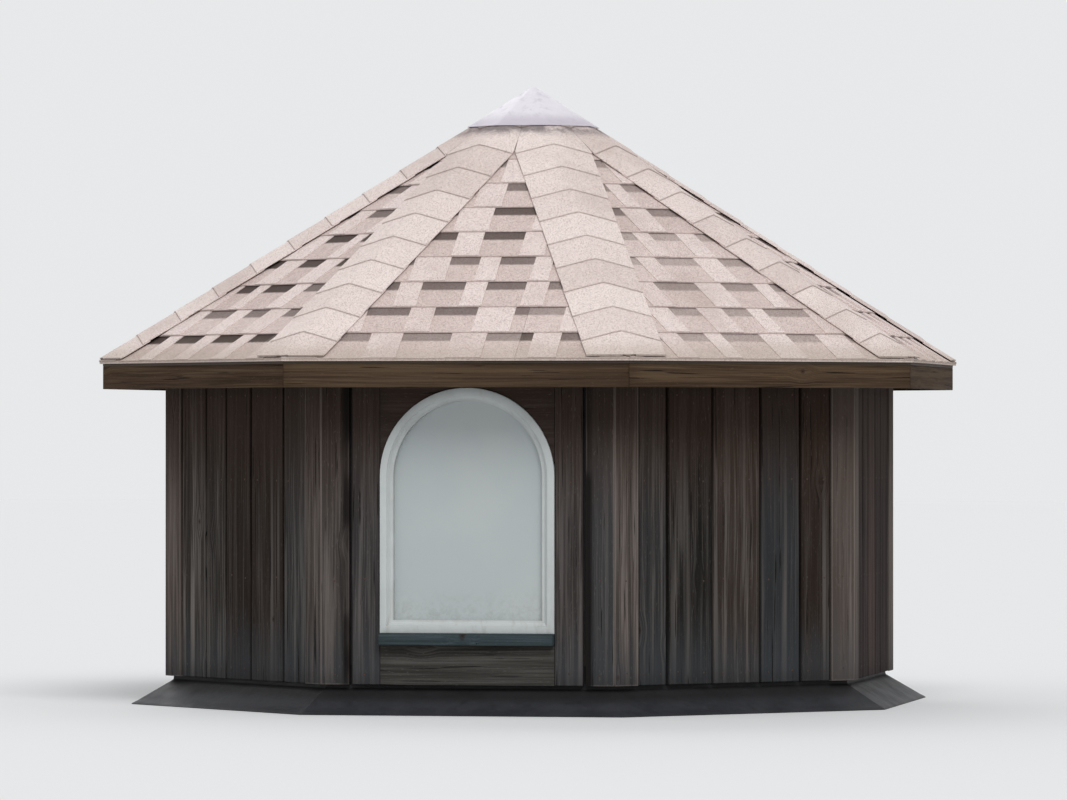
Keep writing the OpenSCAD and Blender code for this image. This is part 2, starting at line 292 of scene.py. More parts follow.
class Build:
    """One visual piece: closed solids in one mesh, each with its own grain coordinates and tone."""

    def __init__(self, name):
        self.name = name
        self.dice = random.Random(name)
        self.bm = bmesh.new()
        layers = self.bm.verts.layers
        layers.float_vector.new("grain")
        layers.float_vector.new("span")
        layers.float.new("tone")

    def mark(self, verts, grains, tone=None):
        """Stores along, across and through in metres, the half extents, and one random tone."""
        tone = self.dice.random() if tone is None else tone
        span = Vector([max(abs(g[i]) for g in grains) for i in range(3)])
        layers = self.bm.verts.layers
        grain_layer, span_layer = [layers.float_vector[key] for key in ("grain", "span")]
        for vert, grain in zip(verts, grains):
            vert[grain_layer] = grain
            vert[span_layer] = span
            vert[layers.float["tone"]] = tone

    def loft(self, rings, matrix, closed=False, grains=None, tone=None):
        """Adds a solid lofted through rings of equally many points, with end caps unless it closes on itself.

        Points are in the solid's own frame, with x along the grain unless grains are given.
        """
        count = len(rings[0])
        points = [p for ring in rings for p in ring]
        faces = []
        for k in range(len(rings) if closed else len(rings) - 1):
            a, b = k * count, (k + 1) % len(rings) * count
            faces += [(a + i, a + (i + 1) % count, b + (i + 1) % count, b + i) for i in range(count)]
        if not closed:
            faces += [range(count)[::-1], range(len(points) - count, len(points))]
        verts = [self.bm.verts.new(matrix @ Vector(p)) for p in points]
        for face in faces:
            self.bm.faces.new([verts[i] for i in face])
        if grains is None:
            middle = Vector(box_middle(points))
            grains = [Vector(p) - middle for p in points]
        self.mark(verts, grains, tone)

    def done(self, slot, material, *nodes, sharp=30):
        """Makes the object, which rides on the only body and stands for the CAD nodes given."""
        bmesh.ops.recalc_face_normals(self.bm, faces=self.bm.faces)
        mesh = bpy.data.meshes.new(self.name)
        self.bm.to_mesh(mesh)
        self.bm.free()
        mesh.shade_smooth()
        mesh.set_sharp_from_angle(angle=math.radians(sharp))
        mesh.materials.append(material)
        piece = new_object(self.name, mesh)
        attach(piece, "root")
        if nodes:
            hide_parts(*nodes)


def islands(bm):
    """The separate solids of a mesh as lists of vertices, ordered by their middles."""
    groups, seen = [], set()
    for start in bm.verts:
        if start in seen:
            continue
        seen.add(start)
        group = [start]
        for vert in group:
            others = [edge.other_vert(vert) for edge in vert.link_edges]
            fresh = [other for other in others if other not in seen]
            seen.update(fresh)
            group += fresh
        groups.append(group)
    return sorted(groups, key=middle_of)


def forward(axis):
    """The axis, turned round if its largest part points backwards."""
    largest = max(axis, key=lambda part: round(abs(part), 3))
    return axis if largest > 0 else -axis


def grain_axes(verts):
    """Along, across and through for one solid: its longest edge, and outwards square to its broadest side."""
    edges = {e for v in verts for e in v.link_edges}
    faces = {f for v in verts for f in v.link_faces}
    longest = max(edges, key=lambda e: (round(e.calc_length(), 4), middle_of(e.verts)))
    along = forward((longest.verts[1].co - longest.verts[0].co).normalized())
    level = [f for f in faces if abs(f.normal.dot(along)) < LEVEL_SINE]
    broad = max(level, key=lambda f: (round(f.calc_area(), 6), middle_of(f.verts)))
    through = (broad.normal - along * broad.normal.dot(along)).normalized()
    outwards = through.dot(Vector(middle_of(verts)))
    if abs(outwards) < 1 * MM:
        through = forward(through)
    elif outwards < 0:
        through = -through
    return along, through.cross(along), through


def dressed(node, slot, material, ease):
    """A CAD node's own solids with eased edges, and grain along each of them."""
    build = Build(f"{node}_dressed")
    bm = build.bm
    bm.from_mesh(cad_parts[node].data)
    bmesh.ops.remove_doubles(bm, verts=bm.verts, dist=WELD)
    bmesh.ops.dissolve_limit(bm, angle_limit=FLAT_ANGLE, verts=bm.verts, edges=bm.edges)
    edges = [e for e in bm.edges if e.is_manifold and e.calc_face_angle() > EDGE_ANGLE]
    bmesh.ops.bevel(bm, geom=edges, offset=ease, segments=2, profile=0.6, affect="EDGES", clamp_overlap=True)
    bm.normal_update()
    for verts in islands(bm):
        axes = grain_axes(verts)
        spots = [Vector([v.co.dot(a) for a in axes]) for v in verts]
        middle = Vector(box_middle(spots))
        build.mark(verts, [s - middle for s in spots])
    build.done(slot, material, node)


def plank(build, length, width, thick, matrix):
    """A sawn board with eased edges, whose sides wander a little inwards along its length."""
    seed = build.dice.uniform(0, 100)
    e = EASED
    between = [length * k / BOARD_STATIONS for k in range(1, BOARD_STATIONS)]
    rings = []
    for x in [0, e, *between, length - e, length]:
        taper = e if x in (0, length) else 0
        left, right, face = [BOARD_WANDER * unit_noise(x * WANDER_PACE, seed, row) for row in WANDER_ROWS]
        half_l = width / 2 - left - taper
        half_r = width / 2 - right - taper
        low, top = taper, thick - face - taper
        rings.append([
            (x, -half_l, low + e), (x, -half_l + e, low), (x, half_r - e, low), (x, half_r, low + e),
            (x, half_r, top - e), (x, half_r - e, top), (x, -half_l + e, top), (x, -half_l, top - e),
        ])
    build.loft(rings, matrix)


def board_widths(dice):
    """Random widths of the boards that fill one plain wall."""
    total = 2 * WALL_HALF
    count = round(total / (sum(BOARD_WIDTHS) / 2))
    widths = [dice.uniform(*BOARD_WIDTHS) for _ in range(count)]
    return [w * total / sum(widths) for w in widths]


def wall_boards(face, name, material):
    """Upright boards of random width on one plain wall."""
    build = Build(f"wall_boards_{name}")
    y = -WALL_HALF
    for width in board_widths(build.dice):
        matrix = upright(face, BOARD_R, y + width / 2, wall_low.z)
        gap = build.dice.uniform(*BOARD_GAPS)
        plank(build, WALL_H, width - gap, BOARD_T, matrix)
        y += width
    build.done("weathered_boards", material, f"siding_{name}")


def arch_points(radius, low_z):
    """Points (y, z) of the arch from its right foot at low_z over the crown to the left one."""
    start = math.asin((low_z - SPRING_Z) / radius)
    turns = [lerp(start, math.pi - start, k / ARCH_STEPS) for k in range(ARCH_STEPS + 1)]
    return [(radius * math.cos(t), SPRING_Z + radius * math.sin(t)) for t in turns]


def inset_outline(outline, by):
    """The outline moved inwards by a small distance, for points that run counterclockwise."""
    spots = [Vector(spot) for spot in outline]
    moved = []
    for k, here in enumerate(spots):
        a = (here - spots[k - 1]).normalized()
        b = (spots[(k + 1) % len(spots)] - here).normalized()
        in_a, in_b = Vector((-a.y, a.x)), Vector((-b.y, b.x))
        moved.append(here + (in_a + in_b) * by / max(1 + in_a.dot(in_b), MITRE_LIMIT))
    return moved


def slab(build, outline, r0, r1, face, ease):
    """A flat piece with an outline (y, z) on a wall, from r0 out to r1, with eased rims."""
    inner = inset_outline(outline, ease)
    layers = [(r0, inner), (r0 + ease, outline), (r1 - ease, outline), (r1, inner)]
    rings = [[(r, p[0], p[1]) for p in points] for r, points in layers]
    middle = (min(p[1] for p in outline) + max(p[1] for p in outline)) / 2
    grains = [Vector((y, z - middle, r - (r0 + r1) / 2)) for ring in rings for r, y, z in ring]
    build.loft(rings, face_matrix(face), grains=grains)


def casing(face, name, material):
    """Two upright casings, shrunk away from the corner boards, and a head board cut to the arch."""
    build = Build(f"casing_boards_{name}")
    inner = WIN_HALF + SEAT
    width = WALL_HALF - CASING_GAP - inner
    for side in (-1, 1):
        matrix = upright(face, BOARD_R, side * (inner + width / 2), wall_low.z)
        plank(build, WALL_H, width, TRIM_R - BOARD_R, matrix)
    foot = SPRING_Z + HORN_H
    arch = arch_points(inner, foot)
    left = [(-WIN_HALF, wall_high.z), (-WIN_HALF, foot)]
    right = [(WIN_HALF, foot), (WIN_HALF, wall_high.z)]
    slab(build, left + arch[::-1] + right, BOARD_R, TRIM_R, face, HEAD_EASE)
    build.done("weathered_trim", material, f"casing_{name}")


def frame_profile():
    """Section of the window frame: (distance in from its outer edge, distance from the axis)."""
    out, back = frame_high.y, frame_low.y
    front_lip, back_lip = pane_high.y + SEAT, pane_low.y - SEAT
    rear_ease, nose = 1 * MM, 0.6 * MM
    groove = FRAME_FACE - PANE_BITE - SEAT
    bead = []
    for k in range(BEAD_STEPS + 1):
        drop = FRAME_STEP + BEAD_DROP * math.sin(math.pi / 2 * k / BEAD_STEPS)
        bead.append((lerp(*BEAD, k / BEAD_STEPS), out - drop))
    bead_foot = bead[-1][1]
    return [
        (0, back + rear_ease), (0, out - EASED), (nose, out - nose), (EASED, out),
        (FRAME_FLAT, out), (FRAME_FLAT + 1.5 * MM, out - 0.5 * MM), (FRAME_FLAT + 2 * MM, out - FRAME_STEP),
        *bead, (FRAME_FACE - 0.8 * MM, bead_foot - 0.5 * MM), (FRAME_FACE, bead_foot - 1.5 * MM),
        (FRAME_FACE, front_lip), (groove, front_lip), (groove, back_lip), (FRAME_FACE, back_lip),
        (FRAME_FACE, back + rear_ease), (FRAME_FACE - rear_ease, back), (rear_ease, back),
    ]


def window_frame(face, name, material):
    """Moulded frame swept round the window, mitred at its foot."""
    build = Build(f"window_moulding_{name}")
    foot = frame_low.z
    path = [((-WIN_HALF, foot), (1, 1)), ((WIN_HALF, foot), (-1, 1))]
    for y, z in arch_points(WIN_HALF, SPRING_Z):
        path.append(((y, z), (-y / WIN_HALF, (SPRING_Z - z) / WIN_HALF)))
    profile = frame_profile()
    rings = [[(r, y + in_y * d, z + in_z * d) for d, r in profile] for (y, z), (in_y, in_z) in path]
    grains = [Vector((z - SPRING_Z, y, r - frame_high.y)) for ring in rings for r, y, z in ring]
    build.loft(rings, face_matrix(face), closed=True, grains=grains)
    build.done("window_frame", material, f"window_frame_{name}")


def window_pane(face, name, material):
    """Frosted pane that sits in the groove of its frame."""
    build = Build(f"frosted_pane_{name}")
    half = WIN_HALF - FRAME_FACE + PANE_BITE
    foot = frame_low.z + FRAME_FACE - PANE_BITE
    outline = [(-half, foot), (half, foot)] + arch_points(half, SPRING_Z)
    slab(build, outline, pane_low.y, pane_high.y, face, PANE_EASE)
    build.done("frosted_pane", material, f"window_pane_{name}")


def roof_plate(build, face, rows, tone, butt_r):
    """A thin closed piece of roofing. Rows are (r, y0, y1, low, high) from its butt up to its head."""
    rings, grains = [], []
    for r, y0, y1, low, high in rows:
        middle = (y0 + y1) / 2
        section = [(y0, low), (middle, low), (y1, low), (y1, high), (middle, high), (y0, high)]
        rings.append([(r, y, roof_z(r, off)) for y, off in section])
        rise = (butt_r - r) / math.cos(PITCH)
        grains += [Vector((rise, y - middle, off)) for y, off in section]
    build.loft(rings, face_matrix(face), grains=grains, tone=tone)


def course_rows(butt_r, y0, y1, drop, skew=(0, 0), lift=0):
    """Rows of one shingle ply: its top lies drop under the course's top, and hips trim its sides.

    Skew is how far its left and right sides turn from row to row, and lift is how far its butt is raised.
    """
    rows = []
    head_r = max(butt_r - RUN - LAP * math.cos(PITCH), TIP_R)
    for k, r in enumerate((butt_r, butt_r - BUTT_RUN, max(butt_r - RUN, head_r + 2 * NARROWEST), head_r)):
        limit = max(r * CORNER_TAN - HIP_TRIM, 2 * NARROWEST)
        left = min(max(y0 + skew[0] * k, -limit), limit - NARROWEST)
        right = max(min(y1 + skew[1] * k, limit), left + NARROWEST)
        high = SHINGLE_TOP - drop - COURSE_DROP * (butt_r - r) / RUN + (lift if k == 0 else 0)
        low = max(high - PLY_T, SHINGLE_LOW + HAIR)
        rows.append((r, left, right, low, max(high, low + THINNEST)))
    return rows


def strips(build, half):
    """Ends of the strips of one course, which start at a random joint. None is a sliver."""
    y = -half
    length = build.dice.uniform(0.25, 1) * STRIP_LENGTH
    while y < half:
        end = y + length if y + length < half - SHORTEST_STRIP else half
        yield y, end
        y, length = end + STRIP_JOINT, STRIP_LENGTH


def tabs(build, face, butt_r, half):
    """Tabs of one course, with slots of random width between them."""
    dice = build.dice
    y = -half - dice.uniform(0, TAB_WIDTHS[0])
    while y < half:
        width = dice.uniform(*TAB_WIDTHS)
        if y + width > -half + LEAST_TAB and y < half - LEAST_TAB:
            skew = (dice.uniform(0, TAB_SKEW), -dice.uniform(0, TAB_SKEW))
            lift = -dice.uniform(0, TAB_SAG)
            rows = course_rows(butt_r - dice.uniform(0, TAB_SHIFT), y, y + width, 0, skew, lift)
            roof_plate(build, face, rows, dice.uniform(*TAB_TONES), butt_r)
        y += width + dice.uniform(*SLOT_WIDTHS)


def starter_strip(build, face):
    """Strip along the eave, under the lowest course."""
    top = SHINGLE_TOP - 2 * PLY_T - 2 * HAIR
    rows = [
        (r, -r * CORNER_TAN + HIP_TRIM, r * CORNER_TAN - HIP_TRIM, SHINGLE_LOW, high)
        for r, high in ((EAVE_R - STARTER_BACK, top), (EAVE_R - RUN, SHINGLE_LOW + 10 * HAIR))
    ]
    roof_plate(build, face, rows, STARTER_TONE, EAVE_R)


def shingle_face(face, material):
    """Laminated shingles of one roof face: a ply in strips, with tabs of random width laid on it."""
    build = Build(f"shingles_face_{face}")
    bundle = build.dice.uniform(*BUNDLE_TONES)
    butt_r = EAVE_R
    while butt_r > 2 * TIP_R:
        half = butt_r * CORNER_TAN - HIP_TRIM
        for y0, y1 in strips(build, half):
            rows = course_rows(butt_r - PLY_BACK, y0, y1, PLY_T)
            roof_plate(build, face, rows, bundle + build.dice.uniform(*PLY_TONES), butt_r)
        tabs(build, face, butt_r, half)
        butt_r -= RUN
    starter_strip(build, face)
    build.done("shingles", material, "shingles", sharp=20)


def hip_cap(build, matrix, butt_q):
    """One folded cap shingle, trimmed to the eave and to the middles of the roof faces.

    In the hip's own frame q runs out along the hip and y to its side.
    """
    head_q = max(butt_q - HIP_RUN - CAP_LAP, CAP_END_R)
    jitter = [build.dice.uniform(-CAP_JITTER, 0) for _ in range(2)]
    rings, grains = [], []
    for k, t in enumerate(CAP_ROWS):
        q_row = lerp(butt_q, head_q, t)
        high = CAP_TOP - HAIR - CAP_DROP * (butt_q - q_row) / HIP_RUN
        low = max(high - CAP_T, CAP_LOW + HAIR)
        half = min(CAP_HALF + jitter[k % 2], q_row * CORNER_TAN - HIP_TRIM)
        ring = []
        for side, c in there_and_back(CAP_COLUMNS):
            off = (low, high)[side]
            y = lerp(-half, half, c / CAP_COLUMNS)
            eave_q = (EAVE_R - abs(y) * CORNER_SIN) / CORNER_COS
            q = min(q_row, eave_q - FOLD * CORNER_TAN * (1 if k == 0 else 0))
            r = q * CORNER_COS + math.hypot(y, FOLD) * CORNER_SIN
            ring.append((q, y, roof_z(r, off)))
            grains.append(Vector(((butt_q - q_row) * EXPOSURE / HIP_RUN, y, off)))
        rings.append(ring)
    build.loft(rings, matrix, grains=grains)


def hip_caps(hip, material):
    """Overlapping caps up one of the eight hips."""
    build = Build(f"hip_caps_{hip}")
    matrix = Matrix.Rotation((hip + 0.5) * FACE_STEP, 4, "Z")
    butt_q = EAVE_R / CORNER_COS
    while butt_q > APEX_R / 2 + CAP_END_R:
        hip_cap(build, matrix, butt_q)
        butt_q -= HIP_RUN
    build.done("shingles", material, "hip_caps", sharp=35)


def apex_cap(material):
    """Folded metal cap with a hemmed rim and a blunt, soldered point."""
    build = Build("apex_cap_sheet")
    top = APEX_LOW + APEX_T
    inner_top = top - HEM_STEP
    outside = [
        (APEX_R, APEX_LOW), (APEX_R, top), (APEX_R - APEX_HEM, top), (APEX_R - APEX_HEM - 1 * MM, inner_top),
        (APEX_R / 2, inner_top), (SHOULDER_R, inner_top - 2 * HAIR), (POINT_R, top - POINT_DROP),
    ]
    inside = [(UNDER_POINT_R, APEX_LOW - 1 * MM), (APEX_R / 2, APEX_LOW), (APEX_R - HEM_STEP, APEX_LOW)]
    rings = []
    for r, off in outside + inside:
        section = [Vector((r, t * r * CORNER_TAN, roof_z(r, off))) for t in APEX_COLUMNS]
        rings.append([tuple(face_matrix(face) @ spot) for face in ALL_FACES for spot in section])
    low_z = roof_z(APEX_R, APEX_LOW)
    grains = [Vector((z - low_z, math.atan2(y, x) * APEX_R, 0)) for ring in rings for x, y, z in ring]
    build.loft(rings, Matrix.Identity(4), grains=grains)
    build.done("apex_metal", material, "apex_cap", sharp=25)


def flashing(material):
    """Bent sheets round the foot: an upstand behind the boards, a bend, and a hemmed flange."""
    build = Build("flashing_sheets")
    bend_z = host_z(UPSTAND_R)
    line = [(UPSTAND_R, flange_high.z), (UPSTAND_R, bend_z + BEND_RISE)]
    for turn in BEND_TURNS:
        r = UPSTAND_R + BEND * (1 - math.cos(turn))
        line.append((r, bend_z + BEND_RISE - BEND_DIP * math.sin(turn)))
    flange = (UPSTAND_R + BEND_END, FLANGE_R - FLANGE_HEM - 1 * MM)
    line += [(lerp(*flange, k / 5), None) for k in range(6)]
    line += [(FLANGE_R - FLANGE_HEM, None), (FLANGE_R, None)]
    for face in ALL_FACES:
        sheet_strip(build, face, line)
    build.done("dark_flashing", material, "roof_flashing", sharp=40)


def sheet_strip(build, face, line):
    """One bent sheet along a line of (r, z), where z is None on the host roof.

    Its hem at the outer edge is nearly twice as thick, and its flange has a faint wave.
    """
    seed = build.dice.uniform(0, 50)
    hem_start = len(line) - 2
    rings, grains = [], []
    for k, (r, z) in enumerate(line):
        on_host = z is None
        base = host_z(r) if on_host else z
        plies = HEM_PLIES if k >= hem_start else 1
        up, out = (SHEET_T * plies / math.cos(HOST_PITCH), 0) if on_host else (0, SHEET_T)
        ring = []
        for side, c in there_and_back(SHEET_COLUMNS):
            half = (r + out * side) * CORNER_TAN - SHEET_TRIM
            y = lerp(-half, half, c / SHEET_COLUMNS)
            waves = on_host and 0 < c < SHEET_COLUMNS and k < hem_start
            wave = SHEET_WAVE * unit_noise(y * 9, r * 20, seed) if waves else 0
            ring.append((r + out * side, y, base + up * side + wave))
            grains.append(Vector((y, r, base)))
        rings.append(ring)
    build.loft(rings, face_matrix(face), grains=grains)


def nail(build, matrix):
    """A domed nail head whose foot lies at the frame's origin."""
    turns = [2 * math.pi * k / NAIL_SIDES for k in range(NAIL_SIDES)]
    sections = ((-SEAT, NAIL_R), (NAIL_H * 0.45, NAIL_R), (NAIL_H, NAIL_R * 0.55))
    rings = [[(rise, size * math.cos(a), size * math.sin(a)) for a in turns] for rise, size in sections]
    build.loft(rings, matrix)


def nail_rows(build, face, r, y_spots):
    """Rows of nail heads up a wall, set a little unevenly."""
    low, high = wall_low.z, wall_high.z
    between = [lerp(low, high, level) for level in NAIL_LEVELS]
    for z in [low + NAIL_EDGE, *between, high - NAIL_EDGE]:
        for y in y_spots:
            jitter = [build.dice.uniform(-reach, reach) for reach in NAIL_SCATTER]
            spot = (r - NAIL_SINK, y + jitter[0], z + jitter[1])
            nail(build, face_matrix(face) @ Matrix.Translation(spot))


def wall_nails(material):
    """Nails of the corner boards, the casings and the wall boards."""
    build = Build("wall_nails")
    corner = (TRIM_R * CORNER_TAN + WALL_HALF) / 2
    side = (WIN_HALF + WALL_HALF) / 2
    for face in ALL_FACES:
        nail_rows(build, face, TRIM_R, (-corner, corner))
    for face in WINDOW_FACES:
        nail_rows(build, face, TRIM_R, (-side, side))
    for face, name in PLAIN_FACES.items():
        y = -WALL_HALF
        for width in board_widths(random.Random(f"wall_boards_{name}")):
            nail_rows(build, face, BOARD_R + BOARD_T, [y + width * share for share in NAIL_SHARES])
            y += width
    build.done("dark_flashing", material)


class Shader:
    """Builds the node tree of one material or world. The materials below call it s."""

    def __init__(self, owner, output="OutputMaterial"):
        self.owner = owner
        owner.use_nodes = True
        self.tree = owner.node_tree
        self.tree.nodes.clear()
        self.out = self.node(output)
        self.colour = None

    def node(self, kind, inputs=None, **settings):
        node = self.tree.nodes.new(f"ShaderNode{kind}")
        for key, value in settings.items():
            setattr(node, key, value)
        for key, value in (inputs or {}).items():
            self.put(node.inputs[key], value)
        return node

    def put(self, socket, value):
        if isinstance(value, bpy.types.NodeSocket):
            self.tree.links.new(value, socket)
        else:
            socket.default_value = value

    def attribute(self, name, output="Vector"):
        return self.node("Attribute", attribute_name=name).outputs[output]

    def place(self):
        """Place in the object's own frame, in metres."""
        return self.node("TexCoord").outputs["Object"]

    def math(self, operation, a, b=0):
        return self.node("Math", {0: a, 1: b}, operation=operation).outputs[0]

    def plus(self, a, b):
        return self.math("ADD", a, b)

    def minus(self, a, b):
        return self.math("SUBTRACT", a, b)

    def times(self, a, b):
        return self.math("MULTIPLY", a, b)

    def vector(self, operation, a, b=(0, 0, 0)):
        node = self.node("VectorMath", {0: a, 1: b}, operation=operation)
        return node.outputs["Value" if operation == "LENGTH" else "Vector"]

    def parts(self, vector):
        return self.node("SeparateXYZ", {0: vector}).outputs

    def sideways(self, y, z=0):
        """A vector with no part along X."""
        return self.node("CombineXYZ", {1: y, 2: z}).outputs[0]

    def noise(self, vector, scale, detail=2, rough=0.5, twist=0):
        """Soft noise from 0 to 1. A scale of three numbers stretches it."""
        if isinstance(scale, tuple):
            vector, scale = self.vector("MULTIPLY", vector, scale), 1
        inputs = {"Vector": vector, "Scale": scale, "Detail": detail, "Roughness": rough, "Distortion": twist}
        return self.node("TexNoise", inputs).outputs[0]

    def cells(self, vector, scale, randomness=1):
        return self.node("TexVoronoi", {"Vector": vector, "Scale": scale, "Randomness": randomness}).outputs

    def step(self, value, low, high, to_low=0, to_high=1):
        """Smooth step from to_low at low to to_high at high."""
        inputs = {0: value, 1: low, 2: high, 3: to_low, 4: to_high}
        return self.node("MapRange", inputs, interpolation_type="SMOOTHSTEP").outputs[0]

    def ramp(self, value, *stops):
        """Colours in sRGB 0 to 255 at positions from 0 to 1."""
        node = self.node("ValToRGB", {0: value})
        band = node.color_ramp
        while len(band.elements) < len(stops):
            band.elements.new(0.5)
        for element, (place, colour) in zip(band.elements, stops):
            element.position = place
            element.color = srgb(colour)
        return node.outputs[0]

    def mix(self, share, a, b, blend="MIX"):
        """Colour a with a share of colour b over it. A tuple is an sRGB colour of 0 to 255."""
        node = self.node("Mix", data_type="RGBA", blend_type=blend)
        for index, value in ((0, share), (6, a), (7, b)):
            self.put(node.inputs[index], srgb(value) if isinstance(value, tuple) else value)
        return node.outputs[2]

    def tint(self, other, share, level=None):
        """Lays another colour over the material's own, by a share that a level may lessen."""
        share = share if level is None else self.times(share, level)
        self.colour = self.mix(share, self.colour, other)

    def brighten(self, level):
        """Multiplies the material's own colour by a level."""
        grey = self.node("CombineColor", {0: level, 1: level, 2: level}).outputs[0]
        self.colour = self.mix(1, self.colour, grey, "MULTIPLY")

    def finish(self, roughness, relief=None, more=None):
        """Principled surface. Relief is a field from 0 to 1, its depth in metres and its strength."""
        inputs = {"Base Color": self.colour, "Roughness": roughness, **(more or {})}
        shader = self.node("BsdfPrincipled", inputs)
        if relief:
            height, depth, strength = relief
            bump = self.node("Bump", {"Strength": strength, "Distance": depth, "Height": height})
            self.put(shader.inputs["Normal"], bump.outputs[0])
        self.put(self.out.inputs[0], shader.outputs[0])
        return self.owner


def material_shader(name):
    return Shader(bpy.data.materials.new(name))


def srgb(colour):
    """Linear colour with alpha from sRGB values of 0 to 255."""
    def linear(c):
        c /= 255
        return c / 12.92 if c <= 0.04045 else ((c + 0.055) / 1.055) ** 2.4
    return (*[linear(c) for c in colour], 1)


def darker(colour, level):
    return tuple(c * level for c in colour)


def wood_fields(s):
    """Fields that all timber shares. The materials below call them f."""
    grain = s.attribute("grain")
    tone = s.attribute("tone", "Fac")
    shift = s.vector("SCALE", (17, 5, 9))
    s.put(shift.node.inputs["Scale"], s.times(tone, 7))
    moved = s.vector("ADD", grain, shift)

    # Knots: round spots in a few of the cells, round which the grain bends
    cell_scale = (1.7, 8, 8)
    knot_place = s.vector("MULTIPLY", moved, cell_scale)
    knot = s.cells(knot_place, 1, 0.8)
    offset = s.vector("DIVIDE", s.vector("SUBTRACT", knot_place, knot["Position"]), cell_scale)
    offset = s.vector("MULTIPLY", offset, (0.8, 1, 0.35))
    distance = s.vector("LENGTH", offset)
    chance = s.step(s.parts(knot["Color"])[0], 0.6, 0.62)
    near = s.times(s.step(distance, 55 * MM, 5 * MM), chance)
    side = s.math("SIGN", s.parts(offset)[1])
    bend = s.sideways(s.times(s.times(near, 16 * MM), side))
    wander = s.noise(moved, (1.3, 7, 7), 1)
    drift = s.sideways(s.times(s.minus(wander, 0.5), 24 * MM))
    flow = s.vector("SUBTRACT", s.vector("ADD", moved, drift), bend)
    streaks = s.noise(flow, (3.2, 170, 170), 4, 0.65)
    cracks = s.noise(flow, (3.6, 120, 60), 3, 0.45)

    # Distance to the nearest rim is the middle one of the three distances to the solid's sides
    reach = s.parts(s.vector("SUBTRACT", s.attribute("span"), s.vector("ABSOLUTE", grain)))
    least = s.math("MINIMUM", s.math("MINIMUM", reach[0], reach[1]), reach[2])
    most = s.math("MAXIMUM", s.math("MAXIMUM", reach[0], reach[1]), reach[2])
    total = s.plus(s.plus(reach[0], reach[1]), reach[2])
    rim_distance = s.minus(s.minus(total, least), most)
    ragged = s.times(s.minus(streaks, 0.5), 8 * MM)
    return SimpleNamespace(
        grain=grain, tone=tone, moved=moved, flow=flow, streaks=streaks,
        bands=s.noise(flow, (0.9, 42, 42), 3, 0.6),
        fibres=s.noise(flow, (18, 900, 900), 2, 0.6),
        checks=s.step(cracks, 0.655, 0.7),
        knot=s.times(s.step(distance, 12 * MM, 7 * MM), chance),
        knot_rings=s.math("SINE", s.times(distance, 2400)),
        rim=s.step(s.plus(rim_distance, ragged), 5 * MM, 0.5 * MM),
        end=s.step(reach[0], 2.5 * MM, 0.5 * MM),
        ends_near=s.step(reach[0], 60 * MM, 0),
    )


def tint_knots(s, f, share, dark, light):
    """Lays ringed knots over the wood."""
    s.tint(s.mix(s.step(f.knot_rings, -1, 1), dark, light), f.knot, share)


def growth_rings(s, field, count, soft, hard):
    """Rings that darken slowly and end sharply, count of them to one unit of the field."""
    wave = s.math("FRACT", s.times(field, count))
    return s.times(s.step(wave, *soft), s.step(wave, *hard))


def fibre_relief(s, f, streaks, fibres):
    return s.plus(s.times(f.streaks, streaks), s.times(f.fibres, fibres))


def tint_beside_joint(s, f, pale):
    """Makes corner boards paler on the +X side as painted sunlight, and nearly black beside the casing's open
    joint.
    """
    place = s.place()
    x = s.parts(place)[0]
    # Painted sunlight: corner boards on the +X side, where the light falls, are paler
    s.tint(pale, s.step(x, 0.95, 1.04, 0, 0.16))
    away = s.plus(s.math("ABSOLUTE", x), s.times(f.streaks, 8 * MM))
    patchy = s.step(s.noise(place, 5), 0.35, 0.6, 0.55, 0.95)
    s.tint((21, 18, 17), s.step(away, WALL_HALF + 33 * MM, WALL_HALF + 16 * MM), patchy)


